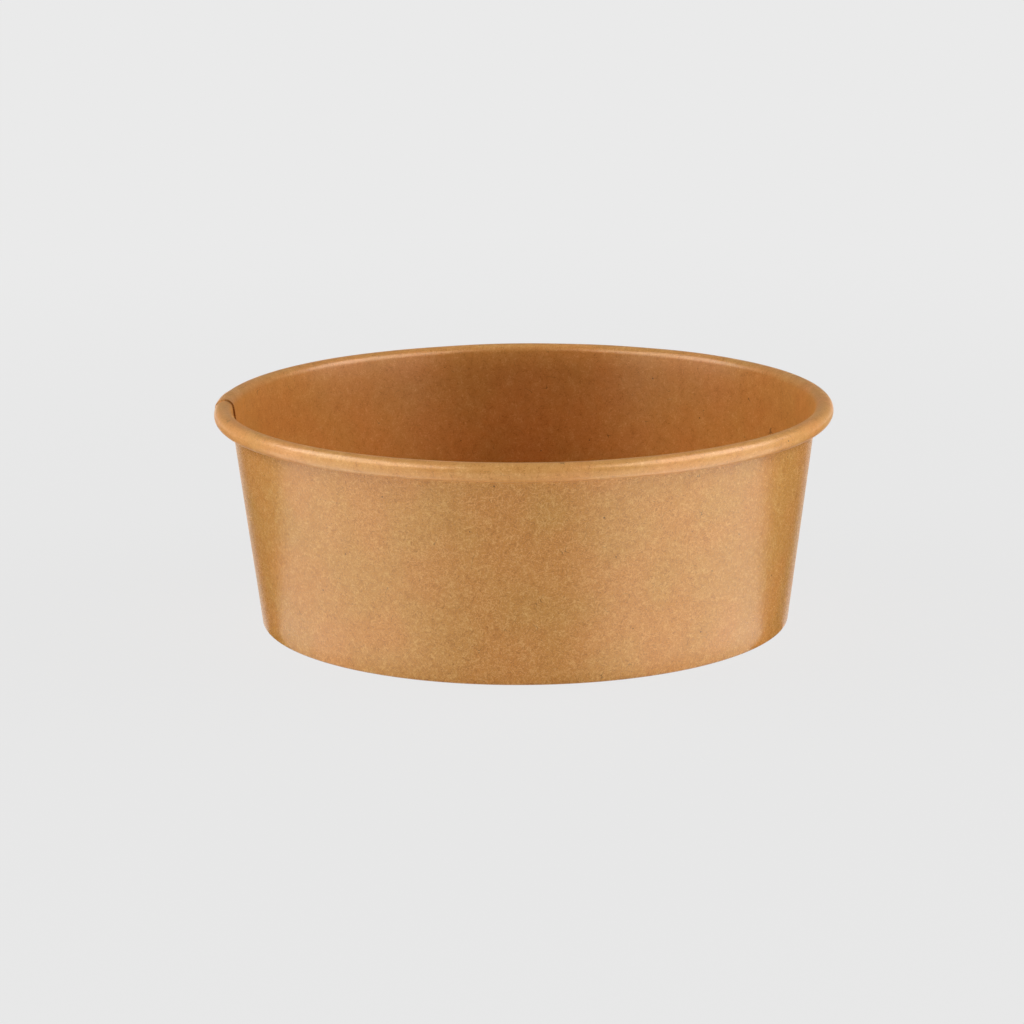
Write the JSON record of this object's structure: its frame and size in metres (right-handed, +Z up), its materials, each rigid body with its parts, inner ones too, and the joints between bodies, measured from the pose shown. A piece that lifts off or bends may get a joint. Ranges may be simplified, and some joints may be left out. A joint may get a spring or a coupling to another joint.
{
  "type": "paper salad bowl",
  "caption": "Round tapered kraft board bowl with a rolled rim, a lapped side seam and a bottom disc held in a folded hem, for salads and takeaway food.",
  "frame": {"origin": "middle of the circle that stands on the table, in the plane of the foot", "axes": "+Z up along the bowl's axis, +X to the right and +Y away from the viewer of the picture, with the lap seam on the viewer's left, from 172.5 to 179 degrees from +X towards +Y"},
  "size_m": [0.15, 0.15, 0.054],
  "materials": {
    "kraft_wall": "satin",
    "kraft_disc": "satin"
  },
  "bodies": {
    "root": {"side_wall": "kraft_wall", "base_disc": "kraft_disc"}
  },
  "joints": []
}
